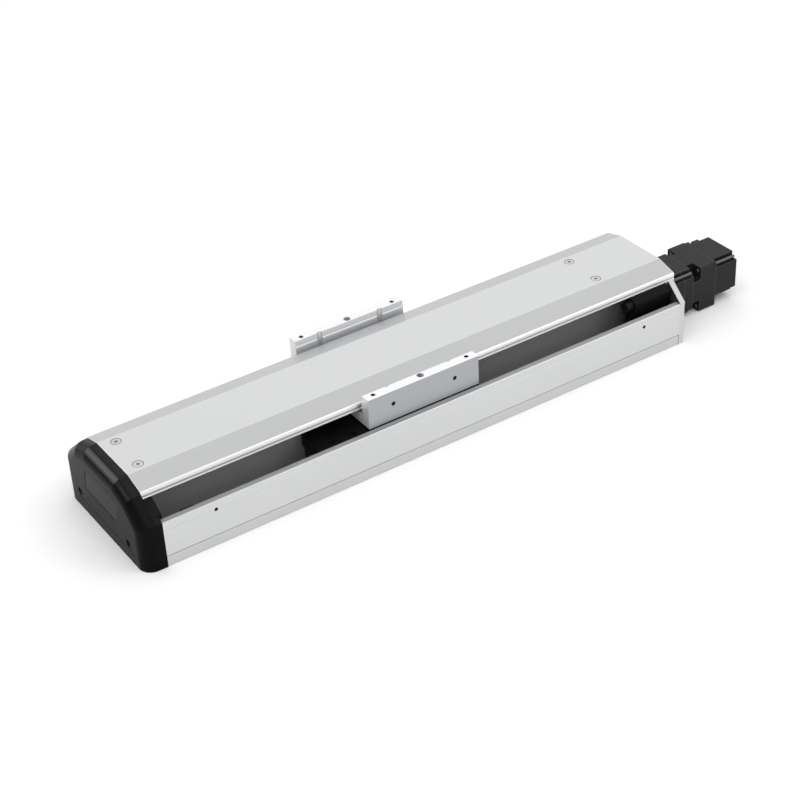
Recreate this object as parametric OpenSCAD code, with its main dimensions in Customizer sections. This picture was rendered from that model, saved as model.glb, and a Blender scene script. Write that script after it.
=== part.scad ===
// Ball screw linear module with a covered body, a carriage with two upstanding ears and a servo motor.
// Millimetres. +X points to the motor, +Z up. The origin is on the base's underside,
// midway between the outer ends of the two housings.

/* [Body] */
// Length of the base and cover extrusions
profile_len = 676; // [600:1:900]
// Width over the side walls
body_w = 175; // [172:1:215]
// Thickness of a side wall
wall_t = 7.5; // [6:0.5:9]
// Height of the side walls
wall_h = 55; // [50:0.5:58]
// Thickness of the floor
floor_t = 11; // [10:0.5:14]
// Height of the slightly recessed sill strip along the foot of each wall
sill_h = 12.6; // [8:0.1:20]
// Height of the fine reference groove in each wall
groove_z = 44.7; // [35:0.1:48]

/* [Cover] */
// Width of the flat middle of the cover
cover_flat = 68.4; // [50:0.2:90]
// Height of the cover from the foot of its lips to its flat top
cover_h = 15.7; // [14:0.1:20]
// Drop from the flat top to the outer end of a shoulder
shoulder_drop = 7; // [4:0.5:8]
// Wall thickness of the cover extrusion
cover_t = 3; // [2:0.1:3.5]
// Radius of the rolled nose along each lip
nose_r = 3; // [2:0.1:3.5]
// Distance from the cover's left end to its left screws
cover_screw_left = 14; // [10:0.5:18]
// Distance from the cover's right end to its right screws
cover_screw_right = 73.4; // [60:0.1:78]
// Distance between the two screws at one end of the cover
cover_screw_pitch = 48.8; // [30:0.2:56]

/* [Ends] */
// Length of the moulded end cap
cap_len = 21.5; // [18:0.5:40]
// How far the end cap's face is drawn in from the body's outline
cap_round = 15; // [8:0.5:20]
// Length over which the end cap rounds over to its face
cap_round_len = 14.5; // [8:0.5:18]
// Length by which the foot of the end cap covers the end of the base
cap_skirt = 4; // [2:0.5:6]
// Length by which the cover passes the idle-side housing
cover_over_left = 3; // [1:0.5:4]
// Length by which the cover passes the drive-side housing, over the end plate
cover_over_right = 13; // [9:0.5:16]
// Thickness of the end plate at the motor side
end_plate_t = 7; // [6:0.5:8]
// Length of the idle-side housing, with its wide plate
idle_len = 32; // [28:1:50]
// Thickness of the idle-side housing's wide plate
idle_plate_t = 8; // [6:0.5:12]
// Length of the fixed-side bearing housing
housing_len = 52; // [50:1:60]
// Reach of the cover shelf over the carriage's path
shelf_len = 33; // [25:1:45]

/* [Carriage] */
// Length of the carriage
carriage_len = 142; // [120:1:170]
// Place of the carriage's centre at rest, along the module
carriage_x = -12; // [-60:1:60]
// Thickness of the carriage plate
plate_t = 15; // [12:0.5:18]
// Thickness of an ear
ear_t = 12.7; // [10:0.1:16]
// Gap between an ear and the side wall
ear_gap = 1.2; // [0.8:0.1:2]
// Height of the ears above the cover
ear_rise = 4.8; // [2:0.1:12]
// Pitch of the three holes in the top of an ear
ear_hole_pitch = 60; // [40:0.5:62]
// Distance between the rows of holes in the two ears
ear_row_gap = 144; // [142:0.5:146]
// Pitch of the two holes in the side of an ear
ear_side_pitch = 79.2; // [60:0.2:100]
// Length by which the riser bars pass the carriage's left end
riser_reach = 60; // [10:1:90]
// Thickness of a riser bar
riser_t = 14; // [10:0.5:18]
// Width of a riser bar
riser_w = 39.5; // [36:0.5:42]

/* [Guides] */
// Width of a guide rail
rail_w = 15; // [12:1:20]
// Height of a guide rail
rail_h = 15; // [12:0.5:17]
// Height of rail and block together
guide_h = 28; // [26:0.5:32]
// Width of a guide block
block_w = 34; // [30:1:38]
// Length of a guide block with its end caps
block_len = 61.4; // [50:0.2:75]
// Pitch of the rail screws
rail_pitch = 60; // [40:5:80]

/* [Screw drive] */
// Diameter of the ball screw
screw_d = 16; // [14:1:18]
// Sideways place of the screw axis
screw_y = -18; // [-19:0.5:0]
// Height of the screw axis
screw_z = 30.5; // [30:0.5:32]
// Width of the ball nut's block
nut_w = 31; // [28:0.5:31]
// Length of the ball nut's block
nut_len = 40; // [30:1:70]
// Outer diameter of the coupling
coupling_d = 32; // [26:1:34]
// Length of one coupling hub
hub_len = 13; // [10:0.5:16]
// Gap between the two hubs, filled by the spider and the jaws
jaw_gap = 9; // [7:0.5:12]

/* [Motor] */
// Width and height of the motor's square frame
motor_w = 60; // [58:1:60]
// Length of the adapter between end plate and motor
adapter_len = 36; // [26:1:45]
// Thickness of the motor's front flange
flange_t = 13; // [8:0.5:15]
// Length of the motor body behind the flange
motor_len = 35; // [30:1:90]
// Length of the encoder cover
encoder_len = 33; // [24:1:50]
// Size of the square notch along each long edge of the motor
motor_notch = 8; // [5:0.5:9]
// Pitch circle of the motor screws
motor_pcd = 54; // [52:1:56]

/* [Mounting] */
// Pitch along the module of the tapped holes in the base
base_hole_pitch = 100; // [80:5:120]
// Number of tapped holes in one row of the base
base_hole_count = 7; // [5:2:7]
// Distance between the two rows of tapped holes
base_row_gap = 148; // [146:1:152]
// Distance from each end of the body to its small side holes
side_hole_inset = 60; // [40:1:80]

/* [Hidden] */
$fn = 48;

// Clearances: around a screw, between parts that slide, in a running fit, and for a sliding rail
screw_fit = 0.1;
slide_fit = 0.3;
running_fit = 0.05;
seat_gap = 0.05;

// Stations across the module, from the outside in; each is the distance from the middle plane
half_w = body_w / 2;
wall_in = half_w - wall_t;
ear_out = wall_in - ear_gap;
ear_in = ear_out - ear_t;
lip_gap = 5.1;
lip_out = ear_in - lip_gap;
riser_out = ear_out - 0.8;
riser_in = riser_out - riser_w;
rail_y = (riser_out + riser_in) / 2;
guard_gap = 1.5;
guard_t = 1.5;
guard_out = riser_in - guard_gap;
guard_in = guard_out - guard_t;
block_half_w = guard_in - 1;

// Stations up the module
rail_top = floor_t + rail_h;
block_top = floor_t + guide_h;
plate_z = block_top + riser_t;
plate_top = plate_z + plate_t;
lip_rise = 3.3;
lip_z = plate_top + lip_rise;
cover_z = lip_z + cover_h;
shelf_z = cover_z - cover_t;
shoulder_z = cover_z - shoulder_drop;
ear_top = cover_z + ear_rise;

// Stations along the module
x_left = -profile_len / 2;
x_right = profile_len / 2;
idle_x = x_left + idle_plate_t;
idle_end = x_left + idle_len;
housing_x = x_right - housing_len;
shelf_x = housing_x - shelf_len;
plate_end = x_right + end_plate_t;
motor_x = plate_end + adapter_len;
body_x = motor_x + flange_t;
encoder_x = body_x + motor_len;
motor_end = encoder_x + encoder_len;
base_x0 = x_left + cap_skirt;
cover_x0 = x_left - cover_over_left;
cover_x1 = x_right + cover_over_right;
carriage_x0 = carriage_x - carriage_len / 2;
carriage_x1 = carriage_x + carriage_len / 2;
riser_x0 = carriage_x0 - riser_reach;
block_inset = 1;
block_xs = [riser_x0 + block_inset + block_len / 2, carriage_x1 - block_inset - block_len / 2];
cover_screw_xs = [x_left + cover_screw_left, x_right - cover_screw_right];

// Bearings: bore, outer diameter, width
fixed_bore = 12;
fixed_od = 28;
fixed_w = 8;
fixed_count = 2;
idle_bore = 10;
idle_od = 26;
idle_w = 8;
bearing_x = x_right - 40;
bearing_end = bearing_x + fixed_count * fixed_w;
retainer_t = 4;
retainer_d = 37;
retainer_pcd = 31.4;
cavity_d = 37.4;
lock_boss_len = retainer_t + 0.4;
lock_nut_len = 8;
lock_end = bearing_end + lock_boss_len + lock_nut_len;
hub_x = lock_end + 2;
spider_x = hub_x + hub_len;
motor_hub_x = spider_x + jaw_gap;
shaft_d = 14;
pilot_d = 46;
pilot_t = 3;
adapter_bore = 38;
idle_bearing_x = idle_end - 18;

// Screws: nominal size, head diameter, head height
M3 = [3, 5.5, 3];
M4 = [4, 7, 4];
M5 = [5, 8.5, 5];
M6 = [6, 10, 6];

// ---------------------------------------------------------------- shared shapes

module slab(x0, x1, y0, y1, z0, z1) {
    translate([x0, y0, z0]) cube([x1 - x0, y1 - y0, z1 - z0]);
}

// A round bar along X at a place across the module
module rod_x(x0, x1, y, z, d) {
    translate([x0, y, z]) rotate([0, 90, 0]) cylinder(d = d, h = x1 - x0);
}

// Extrudes a drawing of the cross-section (across, up) along X
module along_x(x0, x1) {
    translate([x0, 0, 0]) rotate([90, 0, 90]) linear_extrude(x1 - x0) children();
}

// One half of an outline and its mirror image, as one list of points
function both_halves(half) = concat(half, [for (i = [len(half) - 1:-1:0]) [-half[i][0], half[i][1]]]);

function arc(cx, cy, r, a0, a1, steps) =
    [for (i = [0:steps]) let (a = a0 + (a1 - a0) * i / steps) [cx + r * cos(a), cy + r * sin(a)]];

// A socket head screw; its head sits on z = 0 and its shank goes down
module cap_screw(m, len) {
    difference() {
        union() {
            cylinder(d = m[1], h = m[2]);
            translate([0, 0, -len]) cylinder(d = m[0], h = len + 0.5);
        }
        translate([0, 0, m[2] * 0.45]) cylinder(d = m[0] * 0.95, h = m[2], $fn = 6);
    }
}

// The hole for a socket head screw: a clearance bore down and a counterbore up
module cap_screw_hole(m, len, sink) {
    translate([0, 0, -len]) cylinder(d = m[0] + 2 * screw_fit, h = len + 0.5);
    cylinder(d = m[1] + 0.8, h = sink + 1);
}

module at_axis(x) {
    translate([x, screw_y, screw_z]) rotate([0, 90, 0]) children();
}

// The outline that the body shows at its ends, as one half
function end_outline() = concat(
    [[half_w, 0], [half_w, wall_h], [lip_out, lip_z]],
    [[lip_out, shoulder_z - nose_r * 0.9], [lip_out - nose_r * 0.75, shoulder_z]],
    [[cover_flat / 2, cover_z]]
);

// ---------------------------------------------------------------- base

relief_in = 20;
relief_out = 46;
relief_d = 0.8;
inner_fillet = 3;

function base_half() = [
    [relief_in, 0], [relief_in, relief_d], [relief_out, relief_d], [relief_out, 0],
    [half_w - 1.2, 0], [half_w - 0.4, 0.8], [half_w - 0.4, sill_h], [half_w - 1.3, sill_h + 0.1],
    [half_w - 1.3, sill_h + 0.9], [half_w, sill_h + 1.1],
    [half_w, groove_z - 0.5], [half_w - 0.35, groove_z], [half_w, groove_z + 0.5],
    [half_w, wall_h - 0.5], [half_w - 0.5, wall_h], [wall_in + 0.4, wall_h], [wall_in, wall_h - 0.4],
    [wall_in, floor_t + inner_fillet], [wall_in - inner_fillet, floor_t]
];

module rail_screw_places() {
    count = floor((rail_x1 - rail_x0 - 30) / rail_pitch) + 1;
    first = (rail_x0 + rail_x1 - (count - 1) * rail_pitch) / 2;
    for (i = [0:count - 1], s = [-1, 1]) translate([first + i * rail_pitch, s * rail_y, 0]) children();
}

rail_x0 = idle_x + 1;
rail_x1 = housing_x - 1;

// The two housings are screwed from below
housing_screw_grip = 8;
module housing_screw_places() {
    for (x = [base_x0 + 7, idle_end - 6.5], s = [-1, 1]) translate([x, s * (block_half_w - 7), 0]) children();
    for (x = [housing_x + 8, x_right - 8], s = [-1, 1]) translate([x, s * housing_screw_y, 0]) children();
}

module side_hole_places() {
    for (x = [base_x0 + side_hole_inset, plate_end - side_hole_inset], s = [-1, 1])
        translate([x, s * half_w, groove_z]) rotate([s * 90, 0, 0]) children();
}

module base_hole_places() {
    for (i = [0:base_hole_count - 1], s = [-1, 1])
        translate([(i - (base_hole_count - 1) / 2) * base_hole_pitch, s * base_row_gap / 2, 0]) children();
}

guard_foot = 10;
guard_x1 = bearing_end - 2;
guard_foot_x0 = idle_end + 1;
guard_foot_x1 = housing_x - 1;
guard_screw_count = 5;
module guard_screw_places() {
    span = guard_foot_x1 - guard_foot_x0 - 40;
    for (i = [0:guard_screw_count - 1], s = [-1, 1])
        translate([guard_foot_x0 + 20 + span * i / (guard_screw_count - 1), s * (guard_in - guard_foot / 2), floor_t])
            children();
}

module base_profile() {
    color("gainsboro") difference() {
        along_x(base_x0, x_right) polygon(both_halves(base_half()));
        rail_screw_places() translate([0, 0, floor_t - 9]) cylinder(d = M4[0] + 2 * screw_fit, h = 10);
        guard_screw_places() translate([0, 0, -6]) cylinder(d = M3[0] + 2 * screw_fit, h = 7);
        housing_screw_places() {
            translate([0, 0, -1]) cylinder(d = M6[0] + 2 * screw_fit, h = floor_t + 2);
            translate([0, 0, -1]) cylinder(d = M6[1] + 0.8, h = M6[2] + 1.6);
        }
        base_hole_places() translate([0, 0, -1]) cylinder(d = 6.8, h = floor_t + 2);
        side_hole_places() translate([0, 0, -1]) cylinder(d = 4.2, h = wall_t + 2);
    }
}

// ---------------------------------------------------------------- guide rails and blocks

// Section of a rail: straight head and foot with a ball groove along each flank
function rail_half() = [
    [rail_w / 2 - 0.6, 0], [rail_w / 2, 0.6], [rail_w / 2, rail_h * 0.42], [rail_w / 2 - 1.6, rail_h * 0.54],
    [rail_w / 2 - 1.6, rail_h * 0.66], [rail_w / 2, rail_h * 0.78], [rail_w / 2, rail_h - 0.8],
    [rail_w / 2 - 0.8, rail_h]
];

module rail(side) {
    color("silver") difference() {
        translate([0, side * rail_y, floor_t]) along_x(rail_x0, rail_x1) polygon(both_halves(rail_half()));
        rail_screw_places() {
            translate([0, 0, floor_t - 1]) cylinder(d = M4[0] + 0.5, h = rail_h + 2);
            translate([0, 0, rail_top - 5.3]) cylinder(d = M4[1] + 0.5, h = 6);
        }
    }
}

module near_rail() { rail(-1); }
module far_rail() { rail(1); }

module rail_screws() {
    color("dimgray") rail_screw_places() translate([0, 0, rail_top - 5.3]) cap_screw(M4, rail_h + 2);
}

// Section of a block's steel body: a saddle over the rail
block_foot = 4.3;
function block_half(grow) = [
    [block_w / 2 - grow - 1, block_foot], [block_w / 2 - grow, block_foot + 1],
    [block_w / 2 - grow, guide_h - 1.5 - grow], [block_w / 2 - 1.5 - grow, guide_h - grow]
];
function block_inside() = [
    [rail_w / 2 + slide_fit, block_foot - 1], [rail_w / 2 + slide_fit, rail_h * 0.40],
    [rail_w / 2 - 1.3, rail_h * 0.52 + slide_fit], [rail_w / 2 - 1.3, rail_h * 0.68 - slide_fit],
    [rail_w / 2 + slide_fit, rail_h * 0.80], [rail_w / 2 + slide_fit, rail_h + slide_fit]
];
block_cap_len = 11;
block_bolt_x = 26;
block_bolt_y = 26;

module block_section(grow) {
    difference() {
        polygon(both_halves(block_half(grow)));
        polygon(both_halves(block_inside()));
    }
}

module block_bolt_places(x, side) {
    for (dx = [-1, 1], dy = [-1, 1])
        translate([x + dx * block_bolt_x / 2, side * rail_y + dy * block_bolt_y / 2, block_top]) children();
}

module guide_block(x, side) {
    steel = block_len - 2 * block_cap_len;
    color("slategray") difference() {
        translate([0, side * rail_y, floor_t]) along_x(x - steel / 2, x + steel / 2) block_section(0);
        block_bolt_places(x, side) translate([0, 0, -6]) cylinder(d = M4[0] + 2 * screw_fit, h = 7);
    }
}

module near_front_block() { guide_block(block_xs[0], -1); }
module near_rear_block() { guide_block(block_xs[1], -1); }
module far_front_block() { guide_block(block_xs[0], 1); }
module far_rear_block() { guide_block(block_xs[1], 1); }

// Moulded end caps, a little smaller than the steel body
module block_caps() {
    steel = block_len - 2 * block_cap_len;
    color("black") for (x = block_xs, side = [-1, 1], e = [-1, 1])
        translate([0, side * rail_y, floor_t])
            along_x(x + (e < 0 ? -block_len / 2 : steel / 2), x + (e < 0 ? -steel / 2 : block_len / 2))
                block_section(0.8);
}

// ---------------------------------------------------------------- risers and carriage

riser_cbore = 4.4;
module riser(side) {
    color("black") difference() {
        slab(riser_x0, carriage_x1, min(side * riser_in, side * riser_out), max(side * riser_in, side * riser_out),
             block_top, plate_z);
        for (x = block_xs) block_bolt_places(x, side) translate([0, 0, riser_t - riser_cbore])
            cap_screw_hole(M4, riser_t, riser_cbore);
        riser_screw_places() translate([0, 0, -10]) cylinder(d = M4[0] + 2 * screw_fit, h = 11);
    }
}

module near_riser() { riser(-1); }
module far_riser() { riser(1); }

module block_screws() {
    color("dimgray") for (x = block_xs, side = [-1, 1])
        block_bolt_places(x, side) translate([0, 0, riser_t - riser_cbore]) cap_screw(M4, riser_t - riser_cbore + 5);
}

// Screws through the carriage plate into the risers; the outer rows stand in grooves of the ears
plate_screw_ys = [riser_in + 7, ear_in - 1.2];
plate_screw_sink = 4.4;
module riser_screw_places() {
    for (dx = [-1, 1], s = [-1, 1], y = plate_screw_ys)
        translate([carriage_x + dx * ear_side_pitch / 2, s * y, plate_z]) children();
}

module riser_screws() {
    color("dimgray") riser_screw_places() translate([0, 0, plate_t - plate_screw_sink])
        cap_screw(M4, plate_t - plate_screw_sink + 9);
}

ear_step_z = 7;
ear_step_y = 0.8;
ear_side_z = 75.6;
nut_bolt_x = 24;
nut_bolt_y = 20;
nut_screw_sink = 5.4;

function carriage_half() = [
    [ear_out - 0.5, plate_z], [ear_out, plate_z + 0.5], [ear_out, ear_top - 0.5],
    [ear_out - 0.5, ear_top], [ear_in + ear_step_y + 0.4, ear_top], [ear_in + ear_step_y, ear_top - 0.4],
    [ear_in + ear_step_y, ear_top - ear_step_z], [ear_in, ear_top - ear_step_z - ear_step_y],
    [ear_in, plate_top + 1], [ear_in - 1, plate_top]
];

module ear_hole_places() {
    for (i = [-1, 0, 1], s = [-1, 1])
        translate([carriage_x + i * ear_hole_pitch, s * ear_row_gap / 2, ear_top])
            children(i == 0 ? 0 : 1);
}

module ear_side_hole_places() {
    for (i = [-1, 1], s = [-1, 1])
        translate([carriage_x + i * ear_side_pitch / 2, s * ear_out, ear_side_z]) rotate([s * 90, 0, 0]) children();
}

module nut_bolt_places() {
    for (dx = [-1, 1], dy = [-1, 1])
        translate([carriage_x + dx * nut_bolt_x / 2, screw_y + dy * nut_bolt_y / 2, plate_z]) children();
}

ear_hole_d = 5;
ear_hole_depth = 14;
ear_side_d = 5;
ear_side_depth = 10;
dowel_d = 8;
module carriage() {
    color("gainsboro") difference() {
        along_x(carriage_x0, carriage_x1) polygon(both_halves(carriage_half()));
        ear_hole_places() {
            translate([0, 0, -10]) cylinder(d = dowel_d, h = 11);
            translate([0, 0, -ear_hole_depth]) {
                cylinder(d = ear_hole_d, h = ear_hole_depth + 1);
                translate([0, 0, ear_hole_depth - 0.35]) cylinder(d1 = ear_hole_d, d2 = ear_hole_d + 1.4, h = 0.7);
            }
        }
        ear_side_hole_places() translate([0, 0, -ear_side_depth]) cylinder(d = ear_side_d, h = ear_side_depth + 1);
        riser_screw_places() {
            translate([0, 0, -1]) cylinder(d = M4[0] + 2 * screw_fit, h = plate_t + 2);
            translate([0, 0, plate_t - plate_screw_sink]) cylinder(d = M4[1] + 0.8, h = 60);
        }
        nut_bolt_places() {
            translate([0, 0, -1]) cylinder(d = M5[0] + 2 * screw_fit, h = plate_t + 2);
            translate([0, 0, plate_t - nut_screw_sink]) cylinder(d = M5[1] + 0.8, h = 20);
        }
    }
}

// ---------------------------------------------------------------- ball nut

nut_below = 14;
nut_cap_len = 6;
module nut_outline(grow) {
    difference() {
        translate([screw_y - nut_w / 2 + grow, screw_z - nut_below + grow])
            square([nut_w - 2 * grow, plate_z - screw_z + nut_below - 2 * grow]);
        for (s = [-1, 1]) translate([screw_y + s * (nut_w / 2 - grow), screw_z - nut_below + grow])
            rotate(45) square(6, center = true);
    }
}

module ball_nut() {
    color("slategray") difference() {
        along_x(carriage_x - nut_len / 2, carriage_x + nut_len / 2) nut_outline(0);
        rod_x(carriage_x - nut_len, carriage_x + nut_len, screw_y, screw_z, screw_d + 2 * slide_fit);
        nut_bolt_places() translate([0, 0, -8]) cylinder(d = M5[0] + 2 * screw_fit, h = 9);
        at_grease_bore() cylinder(d = 3, h = 12, center = true);
    }
}

module at_grease_bore() {
    translate([carriage_x - nut_len / 2, screw_y + 9, plate_z - 5]) rotate([0, -90, 0]) children();
}

module nut_caps() {
    color("black") difference() {
        for (s = [-1, 1])
            along_x(carriage_x + (s < 0 ? -nut_len / 2 - nut_cap_len : nut_len / 2),
                    carriage_x + (s < 0 ? -nut_len / 2 : nut_len / 2 + nut_cap_len))
                difference() {
                    nut_outline(0.6);
                    translate([screw_y, plate_z - 4]) square([nut_w + 2, 9], center = true);
                }
        rod_x(carriage_x - nut_len, carriage_x + nut_len, screw_y, screw_z, screw_d + 2 * slide_fit);
    }
}

module nut_screws() {
    color("dimgray") nut_bolt_places() translate([0, 0, plate_t - nut_screw_sink])
        cap_screw(M5, plate_t - nut_screw_sink + 7);
}

// A hexagon, a neck and a ball head
module grease_nipples() {
    color("goldenrod") at_grease_bore() rotate_extrude()
        polygon([[0, -5], [1.4, -5], [1.4, 0], [2.6, 0], [2.6, 2.2], [1.5, 2.8], [1.5, 4], [2.2, 4.8], [2.2, 5.6],
                 [1.2, 6.8], [0, 6.8]]);
}

// ---------------------------------------------------------------- cover

// Outside of the cover from the top middle down to the lip's foot, then back along the inside
shoulder_angle = atan2(shoulder_drop, lip_out - nose_r * 0.5 - cover_flat / 2);
nose_y = lip_out - nose_r;
nose_z = cover_z - (nose_r + (nose_y - cover_flat / 2) * sin(shoulder_angle)) / cos(shoulder_angle);
bead_h = 1;
lip_recess = 0.7;
function cover_half() = concat(
    [[cover_flat / 2, cover_z]],
    arc(nose_y, nose_z, nose_r, 90 - shoulder_angle, 0, 8),
    [[lip_out, nose_z - 1.6], [lip_out - lip_recess, nose_z - 1.9],
     [lip_out - lip_recess, lip_z + bead_h + 0.4], [lip_out, lip_z + bead_h], [lip_out, lip_z],
     [lip_out - cover_t, lip_z], [lip_out - cover_t, nose_z - 1],
     [nose_y - 1, nose_z - 0.4], [cover_flat / 2 - 0.6, cover_z - cover_t]]
);

csk_head_d = 11.2;
csk_depth = 2.9;
module cover_screw_places() {
    for (x = cover_screw_xs, s = [-1, 1]) translate([x, s * cover_screw_pitch / 2, cover_z]) children();
}

module top_cover() {
    color("gainsboro") difference() {
        along_x(cover_x0, cover_x1) polygon(both_halves(cover_half()));
        cover_screw_places() {
            translate([0, 0, -cover_t - 1]) cylinder(d = 5.5, h = cover_t + 2);
            translate([0, 0, -csk_depth]) cylinder(d1 = 5.4, d2 = csk_head_d + 0.2, h = csk_depth);
            translate([0, 0, -0.01]) cylinder(d = csk_head_d + 0.2, h = 1);
        }
    }
}

module cover_screws() {
    color("darkgray") cover_screw_places() difference() {
        union() {
            translate([0, 0, -14]) cylinder(d = 5, h = 12);
            translate([0, 0, -csk_depth - 0.1]) cylinder(d1 = 4.9, d2 = csk_head_d - 0.3, h = csk_depth);
        }
        translate([0, 0, -2.2]) cylinder(d = 4.6, h = 3, $fn = 6);
    }
}

// ---------------------------------------------------------------- idle end

cap_screw_y = half_w - 32.5;
cap_screw_z = 21.5;
cap_pocket_len = 13;
cap_seam_z = 14;
cap_seam_w = 0.7;
panel_w = 72;
panel_h = 27;
panel_z = 48;
panel_skew = 7.5;
cap_steps = 12;

module cap_screw_places() {
    for (s = [-1, 1]) translate([x_left - cap_len + 6, s * cap_screw_y, cap_screw_z]) rotate([0, -90, 0]) children();
}

// Station and draw-in of one slice of the cap's rounding, from its root to the face
function cap_slice_x(i) = x_left - cap_len + cap_round_len * (1 - sin(90 * i / cap_steps));
function cap_slice_in(i) = cap_round * (1 - cos(90 * i / cap_steps));

// A straight-sided outline drawn in by the same amount on every side but the foot
module drawn_in(half, inset) {
    offset(delta = -inset) polygon(concat(
        [for (p = half) [p[0], p[1] == 0 ? -cap_round - 1 : p[1]]],
        [for (i = [len(half) - 1:-1:0]) [-half[i][0], half[i][1] == 0 ? -cap_round - 1 : half[i][1]]]
    ));
}

// The rounding is a row of slices, each drawn in further than the last, with one skin over them
module rounded_end(half, x_root) {
    hull() {
        along_x(x_root - 0.02, x_root) drawn_in(half, 0);
        for (i = [0:cap_steps]) along_x(cap_slice_x(i), cap_slice_x(i) + 0.02) drawn_in(half, cap_slice_in(i));
    }
}

// The rounded cap fills the corner between wall and lip; its skirt keeps the body's own outline
slope = (lip_z - wall_h) / (half_w - lip_out);
function cap_half() = [[half_w, 0], [half_w, wall_h], [lip_out - 0.4, nose_z + 0.6], [cover_flat / 2, cover_z]];
function skirt_half() = [[half_w, 0], [half_w, wall_h], [lip_out, lip_z]];

// Plan of the cap's foot, drawn in by inset
module cap_plan(inset) {
    rim = [for (i = [0:cap_steps]) [cap_slice_x(i) + inset * sin(90 * i / cap_steps),
                                    half_w - cap_slice_in(i) - inset * cos(90 * i / cap_steps)]];
    polygon(concat(
        [[base_x0 + 1, half_w - inset]], rim,
        [for (i = [len(rim) - 1:-1:0]) [rim[i][0], -rim[i][1]]], [[base_x0 + 1, inset - half_w]]
    ));
}

module panel_outline(grow) {
    w = panel_w / 2 + grow;
    h = panel_h / 2 + grow;
    skew = panel_skew / 2;
    translate([0, panel_z]) polygon([[-w - skew, h], [w - skew, h], [w + skew, -h], [-w + skew, -h]]);
}

module end_cap() {
    color([0.12, 0.12, 0.125]) difference() {
        union() {
            rounded_end(cap_half(), cover_x0);
            along_x(cover_x0 - 1, base_x0) polygon(both_halves(skirt_half()));
        }
        slab(x_left - cap_len - 1, base_x0 + 1, -half_w - 1, half_w + 1, -2 * cap_round, 0);
        slab(cover_x0, base_x0 + 1, -lip_out - slide_fit, lip_out + slide_fit, lip_z - slide_fit, cover_z + 1);
        slab(x_left, base_x0 + 1, -wall_in, wall_in, floor_t, cover_z + 1);
        slab(x_left - cap_pocket_len, x_left + 1, -block_half_w, block_half_w, floor_t, lip_z - 8);
        along_x(x_left - cap_len - 1, x_left - cap_len + 0.8) panel_outline(0);
        cap_screw_places() cap_screw_hole(M5, cap_len, 8);
        translate([0, 0, cap_seam_z]) linear_extrude(cap_seam_w) difference() {
            translate([x_left - cap_len - 1, -half_w - 1]) square([cap_len + cap_skirt + 0.9, body_w + 2]);
            cap_plan(cap_seam_w);
        }
    }
}

// A bare name-plate sunk in the cap's face
module end_cap_panel() {
    color([0.2, 0.2, 0.21]) along_x(x_left - cap_len + 0.2, x_left - cap_len + 0.75) panel_outline(-0.5);
}

module end_cap_screws() {
    color("dimgray") cap_screw_places() cap_screw(M5, cap_len - 6 + idle_plate_t - 1);
}

// Height just under the slanted mouth of the slot, at a distance from the middle plane
function slot_roof(y) = wall_h + slope * (half_w - y) - 0.6;

// A block that carries the flat of the cover, with its top corners cut clear of the shoulders
function shelf_half(w, z0) = [[w, z0], [w, shelf_z - 1.5], [cover_flat / 2 - 1.2, shelf_z]];

function idle_plate_half() = [
    [wall_in - inner_fillet - 0.6, floor_t], [wall_in - 0.6, floor_t + inner_fillet],
    [wall_in - 0.6, slot_roof(wall_in - 0.6)], [lip_out + 0.4, slot_roof(lip_out + 0.4)]
];

module idle_housing() {
    color([0.1, 0.1, 0.1]) difference() {
        union() {
            along_x(x_left, idle_x) polygon(both_halves(idle_plate_half()));
            along_x(x_left, idle_end) polygon(both_halves(shelf_half(block_half_w, floor_t)));
        }
        rod_x(idle_bearing_x, idle_end + 1, screw_y, screw_z, idle_od + 2 * seat_gap);
        rod_x(x_left + 8, idle_end, screw_y, screw_z, idle_od - 5);
        translate([x_left - cap_len + 6, 0, 0]) for (s = [-1, 1]) translate([0, s * cap_screw_y, cap_screw_z])
            rotate([0, 90, 0]) cylinder(d = M5[0] + 2 * screw_fit, h = cap_len + idle_plate_t);
        housing_screw_places() cylinder(d = M6[0] + 2 * screw_fit, h = floor_t + housing_screw_grip + 1);
        cover_screw_places() translate([0, 0, -18]) cylinder(d = 5.2, h = 19);
        stop_post_places() translate([0, 0, -idle_plate_t - 1]) cylinder(d = 5.2, h = idle_plate_t + 2);
    }
}

stop_y = rail_y + 3.7;
stop_z = 33;
stop_d = 13;
post_len = 30;
bumper_len = 14;
module stop_post_places() {
    for (s = [-1, 1]) translate([idle_x, s * stop_y, stop_z]) rotate([0, 90, 0]) children();
}

module stop_posts() {
    color("silver") stop_post_places() {
        cylinder(d = 10, h = post_len);
        translate([0, 0, -idle_plate_t + 1]) cylinder(d = 5, h = idle_plate_t);
    }
}

module idle_bumpers() {
    color("black") stop_post_places() translate([0, 0, post_len]) cylinder(d = stop_d, h = bumper_len);
}

// ---------------------------------------------------------------- bearings

// One ring of a ball bearing: a rectangle with the ball groove taken out, turned about the axis
module bearing_ring(r0, r1, w, ball_r, ball_d) {
    rotate_extrude($fn = 64) difference() {
        translate([r0, 0]) square([r1 - r0, w]);
        translate([ball_r, w / 2]) circle(d = ball_d + 2 * running_fit);
    }
}

module bearing_balls(w, ball_r, ball_d, count) {
    for (i = [0:count - 1]) rotate(i * 360 / count) translate([ball_r, 0, w / 2]) sphere(d = ball_d, $fn = 32);
}

fixed_ball_r = (fixed_bore + fixed_od) / 4;
fixed_ball_d = 4.6;
idle_ball_r = (idle_bore + idle_od) / 4;
idle_ball_d = 4.6;
ring_gap = 1.4;

module fixed_bearings() {
    color("silver") for (i = [0:fixed_count - 1]) at_axis(bearing_x + i * fixed_w) {
        bearing_ring(fixed_ball_r + ring_gap, fixed_od / 2, fixed_w, fixed_ball_r, fixed_ball_d);
        bearing_balls(fixed_w, fixed_ball_r, fixed_ball_d, 10);
    }
}

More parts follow.
